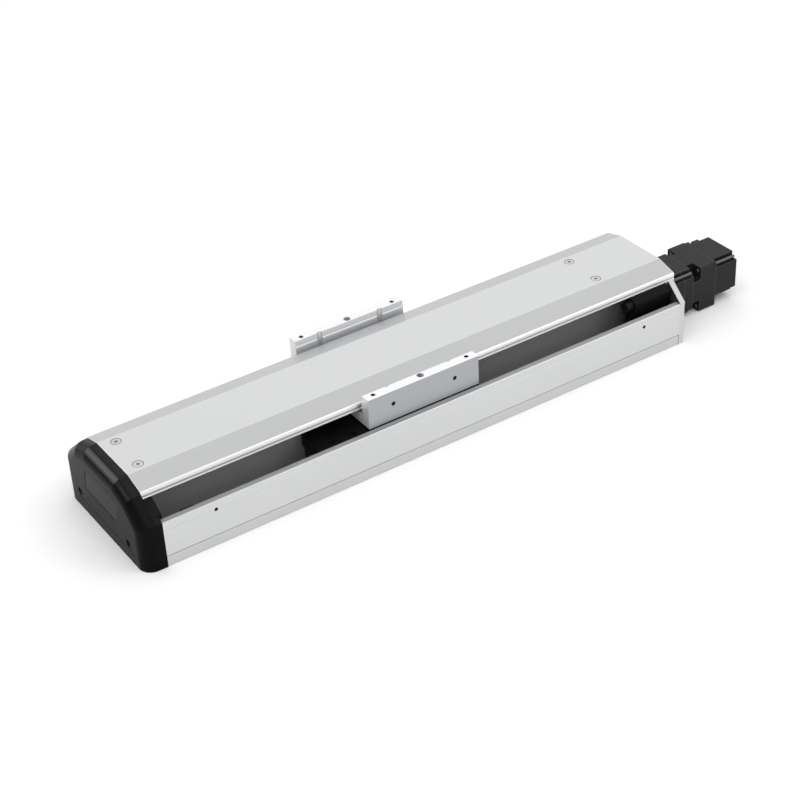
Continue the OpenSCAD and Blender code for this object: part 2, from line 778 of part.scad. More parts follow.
module fixed_bearing_inners() {
    color("silver") for (i = [0:fixed_count - 1]) at_axis(bearing_x + i * fixed_w)
        bearing_ring(fixed_bore / 2, fixed_ball_r - ring_gap, fixed_w, fixed_ball_r, fixed_ball_d);
}

module idle_bearing() {
    color("silver") at_axis(idle_bearing_x) {
        bearing_ring(idle_ball_r + ring_gap, idle_od / 2, idle_w, idle_ball_r, idle_ball_d);
        bearing_balls(idle_w, idle_ball_r, idle_ball_d, 9);
    }
}

module idle_bearing_inner() {
    color("silver") at_axis(idle_bearing_x)
        bearing_ring(idle_bore / 2, idle_ball_r - ring_gap, idle_w, idle_ball_r, idle_ball_d);
}

// ---------------------------------------------------------------- drive end

housing_in = lip_out - 8;
housing_y = lip_out + 9;
housing_screw_y = (housing_in + housing_y) / 2;
bridge_len = 20;
bridge_z = plate_z + 1;
cheek_y = guard_out + 2;

// Across the housing from the middle: between the guards, and above them out to the two stop blocks
function bridge_half() = [
    [housing_y, bridge_z], [housing_y, slot_roof(housing_y)],
    [lip_out + 0.4, slot_roof(lip_out + 0.4)], [lip_out, lip_z - 0.6]
];

module stop_block(s) {
    intersection() {
        slab(housing_x, x_right, s > 0 ? housing_in : -housing_y, s > 0 ? housing_y : -housing_in, floor_t, lip_z);
        along_x(housing_x, x_right)
            polygon(both_halves(concat([[housing_y, floor_t]], [for (i = [1:3]) bridge_half()[i]])));
    }
}

module bearing_housing() {
    color([0.1, 0.1, 0.1]) difference() {
        union() {
            along_x(shelf_x, x_right) polygon(both_halves(shelf_half(block_half_w, plate_top + 2.5)));
            along_x(housing_x, x_right) polygon(both_halves(shelf_half(block_half_w, floor_t)));
            along_x(x_right - bridge_len, x_right) polygon(both_halves(bridge_half()));
            along_x(guard_x1 + 0.5, x_right) polygon(both_halves([[cheek_y, floor_t], [cheek_y, plate_top]]));
            for (s = [-1, 1]) stop_block(s);
        }
        rod_x(housing_x - 1, x_right, screw_y, screw_z, screw_d + 5);
        rod_x(bearing_x, x_right, screw_y, screw_z, fixed_od + 2 * seat_gap);
        rod_x(bearing_end, x_right + 1, screw_y, screw_z, cavity_d);
        retainer_screw_places() translate([0, 0, -8]) cylinder(d = M3[0] + screw_fit, h = 9);
        housing_screw_places() cylinder(d = M6[0] + 2 * screw_fit, h = floor_t + housing_screw_grip + 1);
        cover_screw_places() translate([0, 0, -18]) cylinder(d = 5.2, h = 19);
        end_plate_screw_places() translate([0, 0, -end_plate_t - 12]) cylinder(d = M6[0] + 2 * screw_fit, h = 14);
        drive_bumper_places() translate([0, 0, -1]) cylinder(d = 5.2, h = 9);
    }
}

module retainer_screw_places() {
    for (a = [45:90:315]) at_axis(bearing_end) rotate(a) translate([retainer_pcd / 2, 0, 0]) children();
}

module bearing_retainer() {
    color("dimgray") difference() {
        at_axis(bearing_end) difference() {
            cylinder(d = retainer_d, h = retainer_t);
            translate([0, 0, -1]) cylinder(d = fixed_od - 6, h = retainer_t + 2);
        }
        retainer_screw_places() translate([0, 0, -1]) cylinder(d = M3[0] + screw_fit, h = retainer_t + 2);
    }
}

module retainer_screws() {
    color("dimgray") retainer_screw_places() translate([0, 0, retainer_t]) cap_screw(M3, retainer_t + 7);
}

drive_bumper_y = housing_screw_y;
drive_bumper_z = plate_z + 7.5;
drive_bumper_d = 12.5;
drive_bumper_len = 9;
module drive_bumper_places() {
    for (s = [-1, 1]) translate([housing_x, s * drive_bumper_y, drive_bumper_z]) rotate([0, 90, 0]) children();
}

module drive_bumpers() {
    color("black") drive_bumper_places() {
        translate([0, 0, -drive_bumper_len]) cylinder(d = drive_bumper_d, h = drive_bumper_len);
        cylinder(d = 5, h = 7);
    }
}

module housing_screws() {
    color("dimgray") housing_screw_places() translate([0, 0, M6[2] + 0.6]) rotate([180, 0, 0])
        cap_screw(M6, floor_t - M6[2] - 0.6 + housing_screw_grip);
}

module guard(side) {
    color([0.3, 0.3, 0.31]) difference() {
        union() {
            slab(rail_x0, guard_x1, side > 0 ? guard_in : -guard_out, side > 0 ? guard_out : -guard_in,
                 floor_t, plate_z - 1.5);
            slab(guard_foot_x0, guard_foot_x1, side > 0 ? guard_in - guard_foot : -guard_in - 0.1,
                 side > 0 ? guard_in + 0.1 : -guard_in + guard_foot, floor_t, floor_t + guard_t);
        }
        guard_screw_places() translate([0, 0, -1]) cylinder(d = M3[0] + 2 * screw_fit, h = guard_t + 2);
    }
}

module near_guard() { guard(-1); }
module far_guard() { guard(1); }

module guard_screws() {
    color("dimgray") guard_screw_places() translate([0, 0, guard_t]) difference() {
        union() {
            cylinder(d1 = 5.6, d2 = 4.6, h = 1.6);
            translate([0, 0, -6]) cylinder(d = 3, h = 6.5);
        }
        translate([0, 0, 0.7]) cylinder(d = 2, h = 2, $fn = 6);
    }
}

module end_plate_screw_places() {
    for (s = [-1, 1]) {
        translate([plate_end, s * housing_screw_y, 40]) rotate([0, 90, 0]) children();
        translate([plate_end, s * (block_half_w - 6), cover_z - 17]) rotate([0, 90, 0]) children();
    }
}

// The plate's two upper corners lean outwards to meet the end of the cover's lips
plate_sink = 4.4;
module end_plate() {
    lean = cover_x1 - plate_end - 1;
    color("gainsboro") difference() {
        union() {
            along_x(x_right, plate_end) polygon(both_halves(plate_outline()));
            for (s = [-1, 1]) intersection() {
                along_x(x_right, cover_x1) polygon(both_halves(plate_outline()));
                translate([0, s * (half_w + wall_in - 20) / 2, 0]) rotate([90, 0, 0])
                    linear_extrude(half_w - wall_in + 20, center = true)
                        polygon([[x_right, wall_h - 2], [plate_end, wall_h - 2],
                                 [plate_end + lean, lip_z + 1], [x_right + lean, lip_z + 1]]);
            }
        }
        for (s = [-1, 1]) translate([0, s * (half_w + wall_in - 20) / 2, 0]) rotate([90, 0, 0])
            linear_extrude(half_w - wall_in + 20.2, center = true)
                polygon([[x_right - 1, wall_h - 2], [x_right, wall_h - 2], [x_right + lean, lip_z + 1],
                         [x_right + lean, cover_z], [x_right - 1, cover_z]]);
        rod_x(x_right - 1, plate_end + 1, screw_y, screw_z, adapter_bore);
        end_plate_screw_places() translate([0, 0, -plate_sink]) cap_screw_hole(M6, end_plate_t, 7);
        adapter_screw_places() translate([0, 0, -adapter_len - end_plate_t]) cylinder(d = 4.2, h = end_plate_t + 1);
    }
}

// As the body's outline, but just clear of the cover that runs on over the plate
function plate_outline() = [
    [half_w, 0], [half_w, wall_h], [lip_out, lip_z - seat_gap], [lip_out - cover_t - 0.4, lip_z - seat_gap],
    [lip_out - cover_t - 0.4, nose_z - 1.6], [nose_y - 1.2, nose_z - 1], [cover_flat / 2 - 0.8, shelf_z - seat_gap]
];

module end_plate_screws() {
    color("dimgray") end_plate_screw_places() translate([0, 0, -plate_sink]) cap_screw(M6, 13);
}

// ---------------------------------------------------------------- motor

// A stretch of the motor's square section, centred on the screw axis
module motor_section(x0, x1) {
    translate([0, screw_y, screw_z]) along_x(x0, x1) children();
}

// A rectangle with a square notch at each corner, and a round bead standing in every notch
bead_d = 3.2;
module notched_square(w, h) {
    square([w - 2 * motor_notch, h], center = true);
    square([w, h - 2 * motor_notch], center = true);
    for (x = [-1, 1], y = [-1, 1]) {
        translate([x * (w / 2 - motor_notch), y * (h / 2 - motor_notch)]) square(5.2, center = true);
        translate([x * (w / 2 - motor_notch + bead_d / 2 + 0.9), y * (h / 2 - motor_notch + bead_d / 2 + 0.9)])
            circle(d = bead_d, $fn = 16);
    }
}

module adapter_screw_places() {
    for (a = [0:90:270]) at_axis(motor_x) rotate(a) translate([25, 0, 0]) children();
}

module motor_adapter() {
    color([0.13, 0.13, 0.135]) difference() {
        motor_section(plate_end, motor_x) notched_square(motor_w, motor_w);
        rod_x(plate_end - 1, motor_x + 1, screw_y, screw_z, adapter_bore);
        rod_x(motor_x - pilot_t - 0.5, motor_x + 1, screw_y, screw_z, pilot_d + 2 * seat_gap);
        adapter_screw_places() translate([0, 0, -10]) cap_screw_hole(M4, adapter_len, 10);
        motor_screw_places() translate([0, 0, -12]) cylinder(d = M5[0] + 2 * screw_fit, h = 13);
    }
}

module adapter_screws() {
    color("dimgray") adapter_screw_places() translate([0, 0, -10]) cap_screw(M4, adapter_len - 10 + end_plate_t - 2);
}

module motor_screw_places() {
    for (a = [45:90:315]) at_axis(motor_x) rotate(a) translate([motor_pcd / 2, 0, 0]) children();
}

module motor_flange() {
    color([0.13, 0.13, 0.135]) difference() {
        union() {
            motor_section(motor_x, body_x) notched_square(motor_w, motor_w);
            rod_x(motor_x - pilot_t, motor_x + 1, screw_y, screw_z, pilot_d);
        }
        rod_x(motor_x - pilot_t - 1, body_x + 1, screw_y, screw_z, shaft_d + 2 * running_fit);
        motor_screw_places() translate([0, 0, -1]) cylinder(d = M5[0] + 2 * screw_fit, h = flange_t + 2);
    }
}

// Round-cornered body; each corner is cut back behind the flange for a motor screw
pocket_len = 11;
pocket_w = 16;
body_chamfer = 1.5;
module motor_body() {
    h = motor_w / 2;
    c = h - body_chamfer;
    p = h - pocket_w;
    color([0.13, 0.13, 0.135]) difference() {
        motor_section(body_x, encoder_x)
            polygon([[h, -c], [h, c], [c, h], [-c, h], [-h, c], [-h, -c], [-c, -h], [c, -h]]);
        for (y = [-1, 1], z = [-1, 1]) motor_section(body_x - 1, body_x + pocket_len)
            translate([y * (p + h) / 2 + y, z * (p + h) / 2 + z]) square(h - p + 2, center = true);
        rod_x(body_x - 1, body_x + 6, screw_y, screw_z, shaft_d + 4);
    }
}

module motor_screws() {
    color("dimgray") motor_screw_places() translate([0, 0, flange_t]) cap_screw(M5, flange_t + 11);
}

encoder_lift = 6;
encoder_inset = 0.6;
module encoder_cover() {
    w = motor_w - 2 * encoder_inset;
    color([0.11, 0.11, 0.115]) difference() {
        translate([0, 0, encoder_lift / 2]) motor_section(encoder_x + 0.4, motor_end)
            notched_square(w, w - encoder_lift);
        encoder_screw_places() translate([0, 0, -3.4]) cylinder(d = M4[1] + 0.6, h = 4);
        encoder_screw_places() translate([0, 0, -encoder_len]) cylinder(d = M4[0] + 2 * screw_fit, h = encoder_len);
        power_socket_place() cube([power_w + 0.2, power_h + 0.2, 2 * socket_seat], center = true);
        encoder_socket_place() cube([signal_w + 0.2, signal_h + 0.2, 2 * socket_seat], center = true);
    }
    color([0.11, 0.11, 0.115]) translate([0, 0, encoder_lift / 2]) motor_section(encoder_x, encoder_x + 0.4)
        notched_square(w - 3, w - 3 - encoder_lift);
}

module encoder_screw_places() {
    for (y = [-1, 1], z = [-1, 1])
        translate([motor_end, screw_y + y * 20, screw_z + encoder_lift / 2 + z * 17]) rotate([0, 90, 0]) children();
}

module encoder_cover_screws() {
    color("dimgray") encoder_screw_places() translate([0, 0, -3.4]) cap_screw(M4, 16);
}

// Sockets on the far side of the encoder cover; the two cables are not part of the module
socket_seat = 4;
power_w = 14;
power_h = 22;
power_reach = 9;
signal_w = 10;
signal_h = 18;
signal_reach = 7;
module power_socket_place() {
    translate([encoder_x + 9, screw_y + motor_w / 2 - encoder_inset, screw_z + 10]) rotate([-90, 0, 0]) children();
}

module encoder_socket_place() {
    translate([encoder_x + 24, screw_y + motor_w / 2 - encoder_inset, screw_z + 12]) rotate([-90, 0, 0]) children();
}

module socket(w, h, reach, pins) {
    back = 0.1 - socket_seat;
    difference() {
        translate([-w / 2, -h / 2, back]) cube([w, h, reach - back]);
        translate([1.5 - w / 2, 1.5 - h / 2, back + 2]) cube([w - 3, h - 3, reach]);
    }
    for (i = [0:pins - 1]) translate([0, (i - (pins - 1) / 2) * (h - 6) / (pins - 1), back + 1])
        cylinder(d = 1.4, h = reach - back - 3);
}

module power_socket() {
    color("black") power_socket_place() socket(power_w, power_h, power_reach, 4);
}

module encoder_socket() {
    color("black") encoder_socket_place() socket(signal_w, signal_h, signal_reach, 5);
}

// ---------------------------------------------------------------- turning parts

ring_slot = 1.1;
ring_x = idle_bearing_x - ring_slot;
module ball_screw() {
    color("silver") difference() {
        union() {
            rod_x(idle_end + 2, bearing_x, screw_y, screw_z, screw_d);
            rod_x(idle_bearing_x - 5, idle_end + 3, screw_y, screw_z, idle_bore);
            rod_x(idle_bearing_x + idle_w, idle_end + 3, screw_y, screw_z, idle_bore + 3);
            rod_x(bearing_x - 1, lock_end + 1, screw_y, screw_z, fixed_bore);
            rod_x(lock_end, spider_x, screw_y, screw_z, idle_bore);
        }
        at_axis(ring_x) difference() {
            cylinder(d = idle_bore + 2, h = ring_slot);
            translate([0, 0, -1]) cylinder(d = idle_bore - 1, h = ring_slot + 2);
        }
    }
}

module retaining_ring() {
    color("dimgray") at_axis(ring_x + 0.05) difference() {
        cylinder(d = idle_bore + 4, h = ring_slot - 0.1);
        translate([0, 0, -1]) cylinder(d = idle_bore - 0.9, h = ring_slot + 2);
        translate([0, 0, -1]) linear_extrude(ring_slot + 2) polygon([[0, 0], [12, 5], [12, -5]]);
    }
}

module lock_nut() {
    color("dimgray") difference() {
        union() {
            at_axis(bearing_end) cylinder(d = 16.5, h = lock_boss_len);
            at_axis(bearing_end + lock_boss_len) cylinder(d = 25, h = lock_nut_len);
        }
        at_axis(bearing_end - 1) cylinder(d = fixed_bore, h = 20);
        for (a = [0:90:270]) at_axis(bearing_end + lock_boss_len) rotate(a) translate([11.5, -2, 2])
            cube([3, 4, lock_nut_len]);
    }
}

// Three jaws, rooted 2 mm deep in their hub, and the hub with its clamping slit and screw
jaw_r0 = 8.4;
jaw_span = 38;
jaw_root = 2;
clamp_r = coupling_d / 2 - 5.5;
clamp_seat = 3.2;
module jaws(from_deg) {
    for (i = [0:2]) rotate(from_deg + i * 120) intersection() {
        difference() {
            cylinder(d = coupling_d - 1, h = jaw_gap + 1.6);
            translate([0, 0, -1]) cylinder(r = jaw_r0, h = jaw_gap + 4);
        }
        linear_extrude(jaw_gap + 1.6) polygon([[0, 0], [30, 30 * tan(jaw_span / 2)], [30, -30 * tan(jaw_span / 2)]]);
    }
}

module at_clamp(turn) {
    rotate(turn) translate([clamp_r, 0, hub_len / 2]) rotate([90, 0, 0]) children();
}

module coupling_hub(bore, turn) {
    difference() {
        cylinder(d = coupling_d, h = hub_len);
        translate([0, 0, -1]) cylinder(d = bore, h = hub_len + 2);
        rotate(turn) translate([0, -0.6, -1]) cube([coupling_d, 1.2, hub_len + 2]);
        at_clamp(turn) {
            cylinder(d = M3[0] + 2 * screw_fit, h = 16, center = true);
            translate([-clamp_seat, -clamp_seat, -5 - coupling_d]) cube([coupling_d, 2 * clamp_seat, coupling_d]);
        }
    }
}

module screw_hub() {
    color("darkgray") {
        at_axis(hub_x) coupling_hub(idle_bore, 60);
        at_axis(spider_x - jaw_root) jaws(0);
    }
}

module motor_hub() {
    color("darkgray") {
        at_axis(motor_hub_x) coupling_hub(shaft_d, 0);
        at_axis(spider_x + 0.4) jaws(60);
    }
}

module hub_screws() {
    color("dimgray") {
        at_axis(hub_x) at_clamp(60) translate([0, 0, -5]) mirror([0, 0, 1]) cap_screw(M3, 12);
        at_axis(motor_hub_x) at_clamp(0) translate([0, 0, -5]) mirror([0, 0, 1]) cap_screw(M3, 12);
    }
}

module coupling_spider() {
    color("firebrick") at_axis(spider_x + 0.5) difference() {
        union() {
            cylinder(r = jaw_r0 - 0.2, h = jaw_gap - 1);
            for (i = [0:5]) rotate(30 + i * 60) translate([jaw_r0 - 1, -1.6, 0])
                cube([coupling_d / 2 - jaw_r0 + 0.4, 3.2, jaw_gap - 1]);
        }
        translate([0, 0, -1]) cylinder(r = jaw_r0 - 2.6, h = jaw_gap + 2);
    }
}

module motor_shaft() {
    color("silver") rod_x(motor_hub_x, body_x + 5, screw_y, screw_z, shaft_d);
}

// ---------------------------------------------------------------- drawing

base_profile();
near_rail();
far_rail();
rail_screws();
top_cover();
cover_screws();
end_cap();
end_cap_panel();
end_cap_screws();
idle_housing();
idle_bearing();
stop_posts();
idle_bumpers();
bearing_housing();
fixed_bearings();
bearing_retainer();
retainer_screws();
drive_bumpers();
housing_screws();
near_guard();
far_guard();
guard_screws();
end_plate();
end_plate_screws();
motor_adapter();
adapter_screws();
motor_flange();
motor_body();
motor_screws();
encoder_cover();
encoder_cover_screws();
power_socket();
encoder_socket();
carriage();
near_riser();
far_riser();
riser_screws();
near_front_block();
near_rear_block();
far_front_block();
far_rear_block();
block_caps();
block_screws();
ball_nut();
nut_caps();
nut_screws();
grease_nipples();
ball_screw();
idle_bearing_inner();
fixed_bearing_inners();
retaining_ring();
lock_nut();
screw_hub();
coupling_spider();
motor_hub();
hub_screws();
motor_shaft();
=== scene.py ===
import math

import bpy
from mathutils import Matrix, Vector


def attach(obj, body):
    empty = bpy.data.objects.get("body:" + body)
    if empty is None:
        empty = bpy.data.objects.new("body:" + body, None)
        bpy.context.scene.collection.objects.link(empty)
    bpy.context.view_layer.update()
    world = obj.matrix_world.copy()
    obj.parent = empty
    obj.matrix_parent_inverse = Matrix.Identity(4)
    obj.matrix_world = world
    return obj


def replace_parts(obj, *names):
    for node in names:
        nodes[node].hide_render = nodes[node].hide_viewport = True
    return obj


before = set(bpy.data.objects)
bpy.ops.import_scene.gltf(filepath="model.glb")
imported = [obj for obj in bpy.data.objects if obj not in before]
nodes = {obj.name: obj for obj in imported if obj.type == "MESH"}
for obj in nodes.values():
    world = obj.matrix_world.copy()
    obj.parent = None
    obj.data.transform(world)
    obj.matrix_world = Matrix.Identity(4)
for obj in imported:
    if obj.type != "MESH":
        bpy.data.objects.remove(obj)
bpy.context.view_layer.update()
MM = 0.001

# Places and sizes of the part that the looks need, in millimetres, as part.scad has them
AXIS_Y, AXIS_Z = -18.0, 30.5        # of the screw and the motor
ROD_OFF, ROD_R = 24.5, 1.75         # of the rods in the motor's corner notches, from its axis
SILL_LOW, SILL_TOP = -1.0, 12.9     # of the strip along the foot of the base
LIP_BEAD, LIP_NOSE = 72.4, 75.6     # of the recess in the cover's lip, which gets a painted shade
FOOT_LOW, FOOT_TOP = 53.0, 55.7     # of the strip of painted shadow where the ears come out of the slots
CARRIAGE_X = -12.0
EAR_TOP, EAR_OUT, EAR_SIDE_Z = 91.8, 78.8, 75.6
EAR_RIM, ABOVE_EARS = 91.5, 92.5    # a band of painted light round the ears' top faces


# ------------------------------------------------------------------ materials

MIX_FACTOR, MIX_LOW, MIX_HIGH, MIX_COLOUR = 0, 6, 7, 2      # sockets of a Mix node for colours
NOISE_LOW, NOISE_HIGH = 0.25, 0.75                          # what most of a noise lies between
BEVEL_SAMPLES = 6


class Shader:
    """A node material built step by step around one Principled shader."""

    def __init__(self, name):
        self.mat = bpy.data.materials.new(name)
        self.mat.use_nodes = True
        self.tree = self.mat.node_tree
        self.bsdf = self.tree.nodes["Principled BSDF"]
        self.coord = self.tree.nodes.new("ShaderNodeTexCoord").outputs["Object"]

    def add(self, kind, **values):
        node = self.tree.nodes.new("ShaderNode" + kind)
        for key, value in values.items():
            setattr(node, key, value)
        return node

    def feed(self, value, socket):
        """Links an output to a socket, or sets the socket to a plain number, vector or colour."""
        if isinstance(value, bpy.types.NodeSocket):
            self.tree.links.new(value, socket)
        elif socket.type == "RGBA":
            socket.default_value = (*value, 1)
        else:
            socket.default_value = value

    def calc(self, operation, *values):
        node = self.add("Math", operation=operation)
        for value, socket in zip(values, node.inputs):
            self.feed(value, socket)
        return node.outputs[0]

    def split(self, vector):
        parts = self.add("SeparateXYZ")
        self.feed(vector, parts.inputs[0])
        return parts.outputs

    def span(self, value, start, full, low=0.0, high=1.0):
        """Maps what lies between start and full onto the range from low to high."""
        node = self.add("MapRange")
        node.inputs["From Min"].default_value = start
        node.inputs["From Max"].default_value = full
        node.inputs["To Min"].default_value = low
        node.inputs["To Max"].default_value = high
        self.feed(value, node.inputs["Value"])
        return node.outputs["Result"]

    def spread(self, noise, low=0.0, high=1.0):
        return self.span(noise, NOISE_LOW, NOISE_HIGH, low, high)

    def mix(self, factor, low, high):
        """Mixes two colours by a factor."""
        node = self.add("Mix", data_type="RGBA")
        self.feed(factor, node.inputs[MIX_FACTOR])
        self.feed(low, node.inputs[MIX_LOW])
        self.feed(high, node.inputs[MIX_HIGH])
        return node.outputs[MIX_COLOUR]

    def noise(self, per_mm, detail=2.0, stretch=(1, 1, 1)):
        """Noise with per_mm cells to the millimetre; stretch draws it out along an axis."""
        mapping = self.add("Mapping")
        mapping.inputs["Scale"].default_value = tuple(per_mm / MM / s for s in stretch)
        self.feed(self.coord, mapping.inputs["Vector"])
        tex = self.add("TexNoise")
        tex.inputs["Scale"].default_value = 1.0
        tex.inputs["Detail"].default_value = detail
        self.feed(mapping.outputs["Vector"], tex.inputs["Vector"])
        return tex.outputs["Fac"]

    def edge(self, radius_mm):
        """A small rounding of every edge, as on deburred or moulded parts."""
        node = self.add("Bevel", samples=BEVEL_SAMPLES)
        node.inputs["Radius"].default_value = radius_mm * MM
        return node.outputs["Normal"]

    def bump(self, height, distance_mm, strength, normal):
        node = self.add("Bump")
        node.inputs["Strength"].default_value = strength
        node.inputs["Distance"].default_value = distance_mm * MM
        self.feed(height, node.inputs["Height"])
        self.feed(normal, node.inputs["Normal"])
        return node.outputs["Normal"]

    def along(self, normal, axis, start, full):
        """A mask that begins where the cosine between a normal and an axis is start."""
        dot = self.add("VectorMath", operation="DOT_PRODUCT")
        self.feed(normal, dot.inputs[0])
        self.feed(axis, dot.inputs[1])
        return self.span(dot.outputs["Value"], start, full)

    def sides(self, colour, faces):
        """Paints light and shade by where the faces look: those that look along an axis get a lighter or darker
        colour as painted light or shade.
        """
        normal = self.add("TexCoord").outputs["Normal"]
        for axis, start, full, tone in faces:
            colour = self.mix(self.along(normal, axis, start, full), colour, tone)
        return colour

    def band(self, colour, low_mm, high_mm, tone):
        """Gives what lies between two heights another colour; the looks below use it for painted light and
        shade, and for a darker strip along the foot of the base.
        """
        height = self.split(self.coord)["Z"]
        inside = self.calc("MULTIPLY", self.calc("GREATER_THAN", height, low_mm * MM),
                           self.calc("LESS_THAN", height, high_mm * MM))
        return self.mix(inside, colour, tone)

    def rods(self, colour, tone):
        """Gives the four round rods in the corner notches of the motor a lighter colour: their metal, with a
        painted highlight along them.
        """
        place = self.split(self.coord)
        near = []
        for axis, middle in (("Y", AXIS_Y), ("Z", AXIS_Z)):
            value = place[axis]
            for off in (middle, ROD_OFF):
                value = self.calc("ABSOLUTE", self.calc("SUBTRACT", value, off * MM))
            near.append(self.calc("LESS_THAN", value, ROD_R * MM))
        return self.mix(self.calc("MULTIPLY", *near), colour, tone)

    def painted_inner_light(self, colour, tone):
        """Paints light on the faces that look across to the middle plane, in a lighter colour."""
        normal = self.add("TexCoord").outputs["Normal"]
        product = self.calc("MULTIPLY", self.split(normal)["Y"], self.split(self.coord)["Y"])
        return self.mix(self.span(product, -0.01, -0.04), colour, tone)

    def rounding(self, colour, rounded, tone, start, full):
        """Gives the rounding of the edges another colour, from where it leaves the flat face: on the cover a
        painted highlight, on the motor edge wear with a painted highlight.
        """
        flat = self.add("NewGeometry").outputs["Normal"]
        return self.mix(self.along(flat, rounded, start, full), colour, tone)


def shade(tone, factor):
    return tuple(min(1.0, c * factor) for c in tone)


def grey(value):
    return value, value, value


def silver(value):
    """A very slightly blue grey."""
    return value, value + 0.005, value + 0.010


METAL_PATCHES, PLASTIC_PATCHES, PAPER_PATCHES = 0.012, 0.02, 0.02       # to the millimetre
METAL_GRAIN_MM, PLASTIC_GRAIN_MM = 0.02, 0.05                           # height of the grain
# The rounding over which the cover's edges get a painted highlight, and where that highlight begins
CREASE_MM = 1.6
CREASE_START, CREASE_FULL = 0.999, 0.994                                # cosines, as in Shader.along
# Where the motor's edges get wear and a painted highlight
EDGE_WEAR_AND_HIGHLIGHT_START, EDGE_WEAR_AND_HIGHLIGHT_FULL = 0.985, 0.86


def metal(name, tone, metallic, rough, edge_mm=0.3, grain=(60, 1, 1), grain_mm=1.6, bump=0.10, vary=0.05,
          rough_vary=0.06, specular=0.5, faces=(), bands=(), painted_inner_light=None, crease_highlight=None):
    """Anodised, ground or machined metal: a fine grain, drawn out along the axis it was worked on."""
    s = Shader(name)
    fine = s.noise(grain_mm, 3.0, grain)
    broad = s.noise(METAL_PATCHES, 2.0, (3, 1, 1))
    colour = s.mix(s.spread(broad), shade(tone, 1 - vary), shade(tone, 1 + vary * 0.4))
    # painted light and shade by where the faces look
    colour = s.sides(colour, faces)
    for band in bands:
        colour = s.band(colour, *band)
    # painted light on the faces that look inwards
    if painted_inner_light is not None:
        colour = s.painted_inner_light(colour, painted_inner_light)
    # painted highlight along the rounded edges
    if crease_highlight is not None:
        colour = s.rounding(colour, s.edge(CREASE_MM), crease_highlight, CREASE_START, CREASE_FULL)
    s.feed(colour, s.bsdf.inputs["Base Color"])
    grained = s.spread(fine, rough - rough_vary, rough + rough_vary)
    s.feed(s.calc("ADD", grained, s.spread(broad, -0.02, 0.02)), s.bsdf.inputs["Roughness"])
    s.feed(s.bump(fine, METAL_GRAIN_MM, bump, s.edge(edge_mm)), s.bsdf.inputs["Normal"])
    s.bsdf.inputs["Metallic"].default_value = metallic
    s.bsdf.inputs["Specular IOR Level"].default_value = specular
    return s.mat


def plastic(name, tone, rough, edge_mm=0.4, texture_mm=2.5, bump=0.12, specular=0.5, vary=0.15, edge_wear_and_highlight=None,
            faces=(), rods=None):
    """Moulded plastic, rubber or paint: a fine even texture and slight patches of gloss."""
    s = Shader(name)
    fine = s.noise(texture_mm, 3.0)
    broad = s.noise(PLASTIC_PATCHES, 3.0)
    rounded = s.edge(edge_mm)
    colour = s.mix(s.spread(broad), shade(tone, 1 - vary), shade(tone, 1 + vary))
    # edge wear with a painted highlight
    if edge_wear_and_highlight is not None:
        colour = s.rounding(colour, rounded, edge_wear_and_highlight, EDGE_WEAR_AND_HIGHLIGHT_START, EDGE_WEAR_AND_HIGHLIGHT_FULL)
    # painted light and shade by where the faces look
    colour = s.sides(colour, faces)
    # the rods lighter, with a painted highlight
    if rods is not None:
        colour = s.rods(colour, rods)
    s.feed(colour, s.bsdf.inputs["Base Color"])
    s.feed(s.spread(broad, rough - 0.03, rough + 0.04), s.bsdf.inputs["Roughness"])
    s.feed(s.bump(fine, PLASTIC_GRAIN_MM, bump, rounded), s.bsdf.inputs["Normal"])
    s.bsdf.inputs["Specular IOR Level"].default_value = specular
    return s.mat


# Where faces look: X runs from the end cap to the motor, Y from the near side to the far one
TOP = (0, 0, 1)
CAP_END, MOTOR_END = (-1, 0, 0), (1, 0, 0)
NEAR, FAR = (0, -1, 0), (0, 1, 0)
CAP_SLOPE, MOTOR_SLOPE = (-0.707, 0, 0.707), (0.707, 0, 0.707)
BROW_HIGHLIGHT = (-0.6, 0, 0.8)

EXTRUDED = dict(grain=(20, 1, 1), grain_mm=1.0, bump=0.006, vary=0.012, rough_vary=0.015, edge_mm=0.25)
COARSE_BLACK = dict(grain=(1, 1, 1), grain_mm=5.0, bump=0.10, edge_mm=0.25, vary=0.2)
# Lighter edges of the motor: wear with a painted highlight
MOTOR_EDGE_WEAR_AND_HIGHLIGHT = grey(0.15)
# Lighter rods in the motor's notches: their metal with a painted highlight
MOTOR_ROD_AND_HIGHLIGHT = (0.15, 0.15, 0.152)

